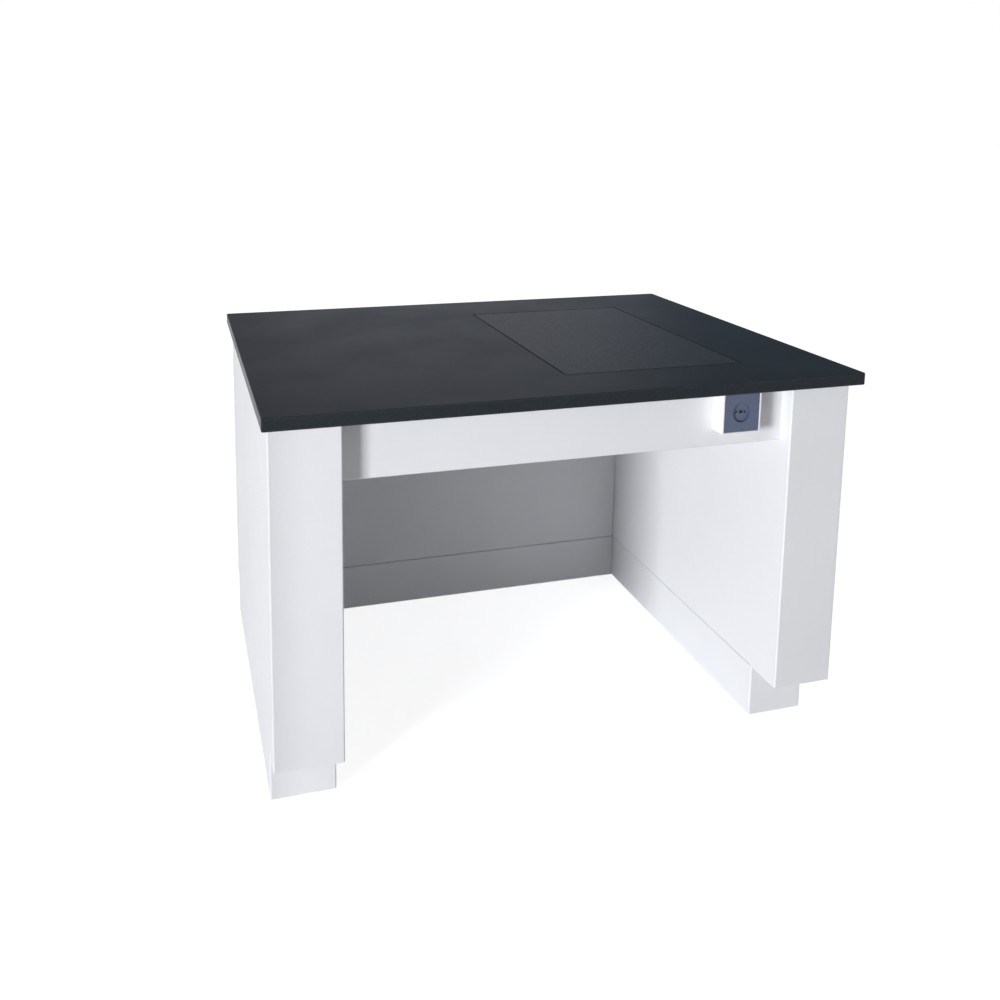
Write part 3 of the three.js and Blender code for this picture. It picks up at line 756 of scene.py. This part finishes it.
class TABLE_OT_finishes(bpy.types.Operator):
    """Makes the finishes and puts them on the frame's own nodes"""

    bl_idname = "balance_table.finishes"
    bl_label = "Finishes"

    def execute(self, context):
        colours = context.scene.table_colours
        make_mottle_group()
        make_peel_group()
        make_fleck_group()
        for name, (tint, *looks) in PLAIN_FINISHES.items():
            plain_finish(name, getattr(colours, tint), *looks)
        resin_board(colours.board)
        honed_stone(colours.stone)
        zinc_plate(colours.zinc)
        for row in frame["record"]["subparts"]:
            node = frame["nodes"][row["node"]]
            node.data.materials.clear()
            node.data.materials.append(finish_of(row["material_slot"]))
        return {"FINISHED"}


class TABLE_OT_worktop(bpy.types.Operator):
    """Makes the worktop board with its cut-out, and the dust seal in the joint"""

    bl_idname = "balance_table.worktop"
    bl_label = "Worktop"

    def execute(self, context):
        sizes = context.scene.table_sizes
        half, centre, bottom, top = spans("worktop")
        stone_half, stone_centre, _, _ = spans("balance_stone")
        outer = (half, centre, sizes.worktop_corner, sizes.worktop_arris)
        hole = (stone_half + sizes.stone_joint, stone_centre, sizes.cutout_corner, sizes.cutout_arris)
        board = pierced_slab(outer, hole, bottom, top)
        put("worktop_board", "table", "worktop_board", [board], "worktop")
        top = top - sizes.seal_drop
        bottom = top - sizes.seal_height
        near, far = sizes.stone_joint, sizes.seal_gap
        lip = (near - far) / 4
        inset = [-near, -near, -near + lip, -far - lip, -far, -far]
        height = [bottom, top - lip, top, top, top - lip, bottom]
        seal = ring_wall(stone_half, stone_centre, sizes.stone_corner, inset, height)
        put("dust_seal", "table", "rubber", [seal])
        return {"FINISHED"}


class TABLE_OT_stone(bpy.types.Operator):
    """Makes the balance stone with its rounded edges"""

    bl_idname = "balance_table.stone"
    bl_label = "Balance stone"

    def execute(self, context):
        sizes = context.scene.table_sizes
        stone = slab(*spans("balance_stone"), sizes.stone_corner, sizes.stone_arris)
        put("stone_slab", "stone", "balance_stone", [stone], "balance_stone")
        return {"FINISHED"}


class TABLE_OT_pedestals(bpy.types.Operator):
    """Makes both pedestal shells, their back covers and the cover screws"""

    bl_idname = "balance_table.pedestals"
    bl_label = "Pedestals"

    def execute(self, context):
        sizes = context.scene.table_sizes
        for side in SIDES:
            self.shell(sizes, side)
            self.cover(sizes, side)
        return {"FINISHED"}

    def shell(self, sizes, side):
        """One sheet, folded round the front and both sides, with a narrow return at the back."""
        node = f"{side}_pedestal_shell"
        (x0, y0, z0), (x1, y1, z1) = node_box(node)
        back = sizes.rear_return
        line = [(x0 + back, y1), (x0, y1), (x0, y0), (x1, y0), (x1, y1), (x1 - back, y1)]
        shell = folded_wall(line, z0, z1, sizes.sheet, sizes.fold, sizes.sheet_edge)
        put(f"{side}_shell", "table", "white_paint", [shell], node)

    def cover(self, sizes, side):
        """A flat cover with three screws down each edge."""
        node = f"{side}_pedestal_back_cover"
        half, centre, front, back = spans(node, FACING_Y)
        cover = slab(half, centre, front, back, sizes.fold, sizes.sheet_edge)
        put(f"{side}_cover", "table", "white_paint", [laid(cover, FACING_Y)], node)
        head = laid(screw_head(sizes.cover_screw, SCREW_RISE * sizes.cover_screw), FACING_Y)
        across, up = half[0] - sizes.cover_screw_inset, half[1] - 2 * sizes.cover_screw_inset
        heads = [
            moved(head, centre[0] + sx * across, back, centre[1] + sz * up)
            for sx in (-1, 1)
            for sz in (-1, 0, 1)
        ]
        put(f"{side}_cover_screws", "table", "zinc_steel", heads)


class TABLE_OT_plinths(bpy.types.Operator):
    """Makes both plinths with their upper fold"""

    bl_idname = "balance_table.plinths"
    bl_label = "Plinths"

    def execute(self, context):
        sizes = context.scene.table_sizes
        for side in SIDES:
            node = f"{side}_plinth"
            half, centre, bottom, top = spans(node)
            wall = ring_wall(half, centre, sizes.fold, *self.section(sizes, bottom, top - sizes.plinth_gap))
            put(f"{side}_plinth_wrap", "table", "white_paint", [wall], node)
        return {"FINISHED"}

    def section(self, sizes, bottom, top):
        """Insets and heights up the outer face, over the fold to its lip, back under it and down inside."""
        edge, sheet, lip, fold = sizes.sheet_edge, sizes.sheet, sizes.plinth_lip, sizes.plinth_fold
        fold_in, fold_drop = quarter(fold, 5)
        bend_in, bend_drop = quarter(fold - sheet, 3)
        lip_in = [fold + HOLD, lip - edge, lip, lip, lip - edge]
        lip_height = [top, top, top - edge, top - sheet + edge, top - sheet]
        below = top - fold - HOLD
        inset = [[edge, 0, 0], fold_in[::-1], lip_in, sheet + bend_in, [sheet, sheet, sheet - edge]]
        height = [
            [bottom, bottom + edge, below],
            top - fold_drop[::-1],
            lip_height,
            top - sheet - bend_drop,
            [below, bottom + edge, bottom],
        ]
        return np.concatenate(inset), np.concatenate(height)


class TABLE_OT_back_trays(bpy.types.Operator):
    """Makes the back panel and the skirting under it as folded trays"""

    bl_idname = "balance_table.back_trays"
    bl_label = "Back panel and skirting"

    def execute(self, context):
        sizes = context.scene.table_sizes
        for node, name in (("back_panel", "back_tray"), ("back_plinth", "back_skirting")):
            half, centre, front, back = spans(node, FACING_Y)
            bends = (sizes.sheet, sizes.fold, sizes.tray_corner, sizes.sheet_edge)
            made = tray(half, centre, front, back - front, *bends)
            put(name, "table", "white_paint", [laid(made, FACING_Y)], node)
        return {"FINISHED"}


class TABLE_OT_carriage(bpy.types.Operator):
    """Makes the isolators under the stone, the plugs of the bearers and the bolts of the rail seats"""

    bl_idname = "balance_table.carriage"
    bl_label = "Stone carriage"

    def execute(self, context):
        sizes = context.scene.table_sizes
        for end in ENDS:
            for side in SIDES:
                self.isolator(sizes, f"{end}_{side}_isolator")
                self.bolts(sizes, f"{end}_{side}_rail_seat", f"{end}_{side}_seat_bolts")
        for side in SIDES:
            self.plugs(sizes, f"{side}_stone_bearer", f"{side}_bearer_plugs")
        return {"FINISHED"}

    def isolator(self, sizes, node):
        """A waisted rubber drum between the bearer and the stone.

        Its radius dips by a squared sine between two rims.
        """
        (wide, _), centre, bottom, top = spans(node)
        tall, bevel = top - bottom, sizes.isolator_bevel
        share = np.linspace(0, 1, 17)
        waist = np.clip((share - ISOLATOR_RIM) / (1 - 2 * ISOLATOR_RIM), 0, 1)
        wall = wide - ISOLATOR_DIP * wide * np.sin(np.pi * waist) ** 2
        face = wide - sizes.isolator_inset
        height = np.concatenate([[0], bevel + share * (tall - 2 * bevel), [tall]])
        drum = turned(np.concatenate([[face], wall, [face]]), height, sides=48)
        piece = put(f"{node}_drum", None, "rubber", [moved(drum, *centre, bottom)], node)
        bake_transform(piece)

    def bolts(self, sizes, node, name):
        """Two hexagonal bolts through the upright leg above the rail, and one under the seat."""
        low, high = node_box(node)
        inward = -math.copysign(1, low[0] + high[0])
        wall, face = (low[0], high[0]) if inward > 0 else (high[0], low[0])
        middle = (low[1] + high[1]) / 2
        head = laid(hexagonal(sizes.seat_bolt, 0.0, sizes.seat_bolt_head), FACING_X, (inward, 1, inward))
        leg, up = wall + inward * sizes.seat_plate, high[2] - sizes.seat_bolt_drop
        upright = [moved(head, leg, middle + s * sizes.seat_bolt_offset, up) for s in (-1, 1)]
        hanging = hexagonal(sizes.rail_bolt, -sizes.rail_bolt_head, 0.0)
        below = moved(hanging, face - inward * sizes.rail_bolt_inset, middle, low[2])
        put(name, "table", "zinc_steel", [*upright, below])

    def plugs(self, sizes, node, name):
        """Two flat plugs that close the ends of a tube."""
        half, centre, front, back = spans(node, FACING_Y)
        half, thick = half - sizes.plug_gap, sizes.plug
        ends = [
            laid(slab(half, centre, at, at + thick, sizes.plug_corner, sizes.plug_arris), FACING_Y)
            for at in (front - thick, back)
        ]
        put(name, "table", "rubber", ends)


class TABLE_OT_outlet(bpy.types.Operator):
    """Makes the outlet box with its rim, and the screw in the well"""

    bl_idname = "balance_table.outlet"
    bl_label = "Socket outlet"

    def execute(self, context):
        sizes = context.scene.table_sizes
        self.box(sizes)
        self.screw(sizes)
        return {"FINISHED"}

    def box(self, sizes):
        """A box that is open to the front, with a round hole in its back.

        Its section goes up the outer wall, over the rounded rim, down the inner wall, along the floor to the
        hole and through it to the back. The hole's rows are circles, the others rounded rectangles.
        """
        half, centre, front, back = spans("socket_box", FACING_Y)
        plate_half = spans("socket_plate", FACING_Y)[0]
        rim = half[0] - plate_half[0] - sizes.plate_gap
        floor = back - rim
        edge, bevel, chamfer = sizes.socket_edge, sizes.socket_bevel, sizes.socket_chamfer
        edge_in, edge_drop = quarter(edge, 5)
        inset = np.concatenate([[0, 0], edge_in[::-1], [rim - bevel, rim, rim, rim + HOLD, chamfer]])
        loops = rectangle_loops(half, sizes.socket_corner, inset)
        count = loops.shape[1]
        angle = (np.arange(count) + 0.5) * 2 * np.pi / count
        circle = sizes.supply_hole * np.stack([np.cos(angle), np.sin(angle)], axis=-1)
        rows = np.concatenate([loops[:-1], [circle, circle], loops[-1:]])
        inner = [front, front + bevel, floor - HOLD, floor, floor, back, back]
        depth = np.concatenate([[back - chamfer, front + edge + HOLD], front + edge_drop[::-1], inner])
        box = grid(stacked(rows, depth, centre), rows_close=True)
        put("outlet_box", "table", "white_plastic", [laid(box, FACING_Y)], "socket_box")

    def screw(self, sizes):
        """A domed head with a cross recess, on a shank that tapers at both ends."""
        (wide, _), centre, front, back = spans("socket_screw", FACING_Y)
        rise = sizes.plate_screw_rise
        shank = turned(SHANK_RADII, [rise - back + front, *SHANK_HEIGHTS], sides=24)
        parts = [
            moved(laid(part, FACING_Y, (1, -1, 1)), centre[0], front + rise, centre[1])
            for part in (screw_head(wide, rise), shank)
        ]
        put("outlet_screw", "table", "black_steel", parts, "socket_screw")


class TABLE_OT_feet(bpy.types.Operator):
    """Makes the levelling feet with thread and rubber sole, and their nuts"""

    bl_idname = "balance_table.feet"
    bl_label = "Levelling feet"

    def execute(self, context):
        sizes = context.scene.table_sizes
        for side in SIDES:
            for end in ENDS:
                self.foot(sizes, f"{side}_{end}", f"{end}_{side}_foot")
        return {"FINISHED"}

    def foot(self, sizes, name, body):
        """A dished pad, a hexagonal collar and a threaded stud; the pad's edge follows a quarter round."""
        node = f"{name}_levelling_foot"
        (wide, _), centre, bottom, top = spans(node)
        sole, rim = bottom + sizes.sole, bottom + sizes.pad
        edge_in, edge_drop = quarter(sizes.pad_edge, 5)
        pad = turned(
            np.concatenate([[wide - sizes.pad_bevel, wide], wide - edge_in[::-1], DISH_RADII]),
            np.concatenate([[sole, sole + sizes.pad_bevel], rim - edge_drop[::-1], rim + DISH_HEIGHTS]),
            sides=56,
        )
        collar = hexagonal(sizes.collar, rim + COLLAR_BOTTOM, rim + COLLAR_TOP)
        stud = threaded(sizes.stud, sizes.thread_depth, sizes.thread_pitch, rim + STUD_BOTTOM, top)
        parts = [moved(part, *centre, 0.0) for part in (pad, collar, stud)]
        put(f"{name}_foot", body, "zinc_steel", parts, node)
        levels = np.array([bottom, bottom, bottom, sole, sole])
        ring = turned(wide - SOLE_INSETS, levels + SOLE_HEIGHTS, sides=56)
        put(f"{name}_foot_sole", body, "rubber", [moved(ring, *centre, 0.0)])
        node = f"{name}_foot_nut"
        _, _, bottom, top = spans(node)
        nut = hexagonal(sizes.nut, bottom, top, bore=sizes.nut_bore)
        put(f"{name}_nut", "table", "zinc_steel", [moved(nut, *centre, 0.0)], node)


class TABLE_OT_studio(bpy.types.Operator):
    """Sets up the camera, the floor and the light"""

    bl_idname = "balance_table.studio"
    bl_label = "Studio"

    def execute(self, context):
        studio = context.scene.table_studio
        for part in (self.camera, self.floor, self.key, self.net, self.world):
            part(context.scene, studio)
        context.scene.view_settings.view_transform = "Standard"
        return {"FINISHED"}

    def heading(self, turn, rise):
        """The way that turns from +Y to +X and then rises, each by an angle."""
        level = math.cos(rise)
        return np.array([math.sin(turn) * level, math.cos(turn) * level, math.sin(rise)])

    def camera(self, scene, studio):
        """The view turns from +Y by the azimuth, tilts down by the pitch and rolls about its own axis."""
        turn, roll = studio.azimuth, studio.roll
        ahead = self.heading(turn, -studio.pitch)
        level = np.array([math.cos(turn), -math.sin(turn), 0.0])
        above = np.cross(level, ahead)
        right = level * math.cos(roll) + above * math.sin(roll)
        up = above * math.cos(roll) - level * math.sin(roll)
        data = bpy.data.cameras.new("camera")
        data.sensor_width = 36.0
        data.lens = studio.lens
        data.shift_x, data.shift_y = studio.shift
        camera = bpy.data.objects.new("camera", data)
        columns = np.stack([right, up, -ahead, np.array(studio.eye)], axis=-1)
        camera.matrix_world = Matrix([*columns.tolist(), (0, 0, 0, 1)])
        scene.collection.objects.link(camera)
        scene.camera = camera

    def sheet(self, scene, name, corners):
        """A flat sheet over its corners, which isn't part of the table, and the node tree of its material."""
        mesh = bpy.data.meshes.new(name)
        mesh.from_pydata(corners, [], [range(len(corners))])
        material = bpy.data.materials.new(f"studio_{name}")
        material.use_nodes = True
        mesh.materials.append(material)
        made = bpy.data.objects.new(name, mesh)
        scene.collection.objects.link(made)
        return made, material.node_tree

    def floor(self, scene, studio):
        """The floor, which is clear from below and shines to the camera, a reflection or a clear body."""
        r = FLOOR_REACH
        _, tree = self.sheet(scene, "floor", [(-r, -r, 0), (r, -r, 0), (r, r, 0), (-r, r, 0)])
        shader = tree.nodes["Principled BSDF"].inputs
        shader["Base Color"].default_value = rgba(studio.floor)
        shader["Roughness"].default_value = 0.9
        shader["Specular IOR Level"].default_value = 0.0
        shader["Emission Color"].default_value = WHITE
        path = add_node(tree, "ShaderNodeLightPath").outputs
        seen = worked_out(tree, "MAXIMUM", path["Is Camera Ray"], path["Is Glossy Ray"])
        seen = worked_out(tree, "MAXIMUM", seen, path["Is Transmission Ray"])
        lift = worked_out(tree, "MULTIPLY", seen, studio.floor_lift)
        tree.links.new(lift, shader["Emission Strength"])
        below = add_node(tree, "ShaderNodeNewGeometry").outputs["Backfacing"]
        tree.links.new(worked_out(tree, "SUBTRACT", 1.0, below), shader["Alpha"])

    def key(self, scene, studio):
        """One large square lamp to the left of the front, facing the table, which no gloss mirrors."""
        towards = self.heading(studio.key_azimuth, -studio.key_elevation)
        data = bpy.data.lights.new("key", "AREA")
        data.energy = studio.key_power
        data.color = studio.key_tint
        data.size = studio.key_size
        lamp = bpy.data.objects.new("key", data)
        lamp.visible_glossy = False
        lamp.location = np.array(KEY_AIM) - towards * studio.key_distance
        lamp.rotation_euler = Vector(towards).to_track_quat("-Z", "Y").to_euler()
        scene.collection.objects.link(lamp)

    def net(self, scene, studio):
        """A fine net along the table's left side, which nothing sees, and which dims the key light there."""
        net, tree = self.sheet(scene, "net", [(NET_X, y, z) for y, z in NET_OUTLINE])
        clear = add_node(tree, "ShaderNodeBsdfTransparent", {"Color": rgba([studio.net] * 3)})
        tree.links.new(clear.outputs[0], tree.nodes["Material Output"].inputs["Surface"])
        for ray in ("camera", "diffuse", "glossy", "transmission"):
            setattr(net, f"visible_{ray}", False)

    def world(self, scene, studio):
        """White to the camera; a soft light from the right and from behind; walls of four tones to a gloss.

        The light and the walls depend on how far to the right and to the rear a ray goes, from -1 to 1.
        """
        world = bpy.data.worlds.new("studio")
        world.use_nodes = True
        tree = world.node_tree
        towards = add_node(tree, "ShaderNodeTexCoord").outputs["Generated"]
        across, behind, _ = add_node(tree, "ShaderNodeSeparateXYZ", {0: towards}).outputs
        share = spread(tree, across, {"From Min": -1.0})
        soft = spread(tree, share, {"To Min": studio.ambient[0], "To Max": studio.ambient[1]})
        for way, start, strength in (
            (across, RIGHT_FILL_START, studio.right_fill),
            (behind, REAR_FILL_START, studio.rear_fill),
        ):
            fill = spread(tree, way, {"From Min": start, "To Max": strength})
            soft = worked_out(tree, "ADD", fill, soft)
        ramp = add_node(tree, "ShaderNodeValToRGB", {"Fac": share})
        elements = ramp.color_ramp.elements
        elements.remove(elements[1])
        stops = [elements[0], *(elements.new(0.5 + at / 2) for at in WALL_STOPS[1:])]
        stops[0].position = 0.5 + WALL_STOPS[0] / 2
        left, bright, right, far = studio.wall_left, studio.wall_bright, studio.wall_right, studio.wall_far
        for stop, wall in zip(stops, (left, bright, bright, right, right, far)):
            stop.color = rgba(wall)
        path = add_node(tree, "ShaderNodeLightPath").outputs
        soft = shaded(tree, tuple(studio.soft_tint), soft)
        mirrored = blended(tree, path["Is Glossy Ray"], soft, ramp.outputs["Color"])
        clear = worked_out(tree, "MAXIMUM", path["Is Camera Ray"], path["Is Transmission Ray"])
        tree.links.new(blended(tree, clear, mirrored, WHITE), tree.nodes["Background"].inputs["Color"])
        scene.world = world


STEPS = (
    TABLE_OT_finishes,
    TABLE_OT_worktop,
    TABLE_OT_stone,
    TABLE_OT_pedestals,
    TABLE_OT_plinths,
    TABLE_OT_back_trays,
    TABLE_OT_carriage,
    TABLE_OT_outlet,
    TABLE_OT_feet,
    TABLE_OT_studio,
)


class TABLE_PT_panel(bpy.types.Panel):
    """Lists the steps of the balance table and its settings"""

    bl_idname = "TABLE_PT_panel"
    bl_label = "Balance table"
    bl_space_type = "VIEW_3D"
    bl_region_type = "UI"
    bl_category = "Balance table"

    def draw(self, context):
        for step in STEPS:
            self.layout.operator(step.bl_idname)
        for group in (context.scene.table_sizes, context.scene.table_colours, context.scene.table_studio):
            box = self.layout.box()
            for name in group.bl_rna.properties.keys():
                if name not in ("rna_type", "name"):
                    box.prop(group, name)


GROUPS = {"table_sizes": TableSizes, "table_colours": TableColours, "table_studio": StudioSettings}
CLASSES = (*GROUPS.values(), *STEPS, TABLE_PT_panel)


def register():
    """Registers the classes and hangs the settings on the scene."""
    for cls in CLASSES:
        bpy.utils.register_class(cls)
    for name, group in GROUPS.items():
        setattr(bpy.types.Scene, name, PointerProperty(type=group))


def unregister():
    """Takes the settings and the classes away again."""
    for name in GROUPS:
        delattr(bpy.types.Scene, name)
    for cls in reversed(CLASSES):
        bpy.utils.unregister_class(cls)


def main():
    """Builds the pieces in order."""
    register()
    for step in STEPS:
        family, action = step.bl_idname.split(".")
        getattr(getattr(bpy.ops, family), action)()


if __name__ == "__main__":
    main()
